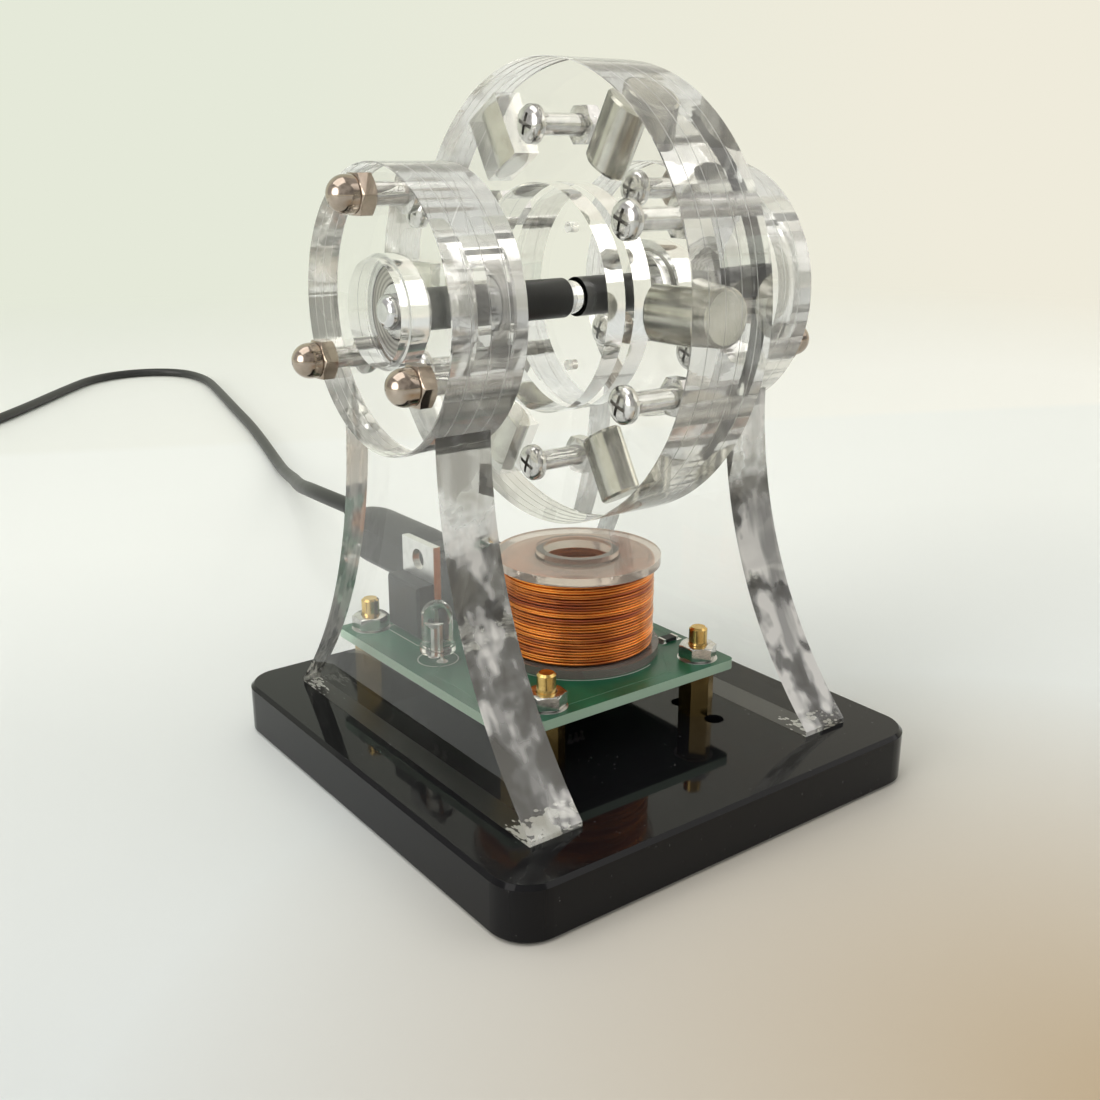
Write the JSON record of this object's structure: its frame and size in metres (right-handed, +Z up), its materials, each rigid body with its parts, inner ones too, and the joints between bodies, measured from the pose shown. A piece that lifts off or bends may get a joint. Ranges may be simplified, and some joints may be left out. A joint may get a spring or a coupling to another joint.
{
  "type": "demonstration electric motor",
  "caption": "Clear acrylic teaching motor: a magnet rotor on a steel shaft in ball bearings, over a copper coil and circuit board on a black base.",
  "frame": {"origin": "middle of the base plate's underside", "axes": "+X along the rotor shaft, from the head nearer the viewer to the far one; +Y towards the power socket at the back; +Z up"},
  "size_m": [0.2024, 0.4557, 0.1106],
  "materials": {
    "base_acrylic": "polished black acrylic",
    "stand_acrylic": "clear acrylic, laser cut edges",
    "head_acrylic": "clear acrylic, bonded sheets",
    "rotor_acrylic": "clear acrylic, bonded sheets",
    "bearing_steel": "ground and polished",
    "shield_steel": "pressed sheet",
    "shaft_steel": "ground rod",
    "sleeve_black": "satin tube",
    "magnet_nickel": "nickel plated",
    "nut_nickel": "warm nickel plated",
    "screw_steel": "zinc plated",
    "brass": "turned brass",
    "board_green": "satin solder mask over glass fibre",
    "bobbin_clear": "translucent moulding",
    "copper_wire": "enamelled copper wire",
    "component_black": "moulded epoxy",
    "tab_metal": "tinned",
    "lead_tin": "tinned wire",
    "led_clear": "clear epoxy",
    "socket_black": "moulded",
    "plug_black": "soft moulding",
    "cord_black": "smooth jacket",
    "connector_metal": "plated sheet"
  },
  "bodies": {
    "base": {"base_plate": "base_acrylic", "left_stand": "stand_acrylic", "left_head_cover": "head_acrylic", "left_head_outer_seat": "head_acrylic", "left_head_inner_seat": "head_acrylic", "left_head_inner_cover": "head_acrylic", "left_bearing_outer_race": "bearing_steel", "left_bearing_shields": "shield_steel", "left_head_screws": "screw_steel", "left_dome_nuts": "nut_nickel", "right_stand": "stand_acrylic", "right_head_cover": "head_acrylic", "right_head_outer_seat": "head_acrylic", "right_head_inner_seat": "head_acrylic", "right_head_inner_cover": "head_acrylic", "right_bearing_outer_race": "bearing_steel", "right_bearing_shields": "shield_steel", "right_head_screws": "screw_steel", "right_dome_nuts": "nut_nickel", "board_pillars": "brass", "board_nuts": "screw_steel", "base_screws": "screw_steel", "circuit_board": "board_green", "coil_bobbin": "bobbin_clear", "coil_inner_layers": "copper_wire", "coil_outer_layer": "copper_wire", "transistor_body": "component_black", "transistor_tab": "tab_metal", "transistor_leads": "lead_tin", "led_lens": "led_clear", "led_leads": "lead_tin", "hall_sensor": "component_black", "hall_sensor_leads": "lead_tin", "chip_resistor": "component_black", "power_socket": "socket_black", "socket_pin": "lead_tin", "plug_barrel": "connector_metal", "plug_handle": "plug_black", "plug_strain_relief": "plug_black", "power_cord": "cord_black", "cord_coil": "cord_black", "usb_plug_body": "plug_black", "usb_plug_shell": "connector_metal"},
    "rotor": {"rotor_front_plate": "rotor_acrylic", "rotor_front_ring": "rotor_acrylic", "rotor_hub_disc": "rotor_acrylic", "rotor_rear_ring": "rotor_acrylic", "rotor_rear_plate": "rotor_acrylic", "rotor_magnets": "magnet_nickel", "rotor_screws": "screw_steel", "rotor_nuts": "nut_nickel", "rotor_shaft": "shaft_steel", "left_shaft_sleeve": "sleeve_black", "right_shaft_sleeve": "sleeve_black", "left_bearing_inner_race": "bearing_steel", "right_bearing_inner_race": "bearing_steel", "left_bearing_balls": "bearing_steel", "right_bearing_balls": "bearing_steel"}
  },
  "joints": [
    {"name": "rotor_spin", "type": "hinge", "parent": "base", "child": "rotor", "pos_m": [0, 0, 0.0764], "axis": [1, 0, 0], "continuous": true}
  ]
}
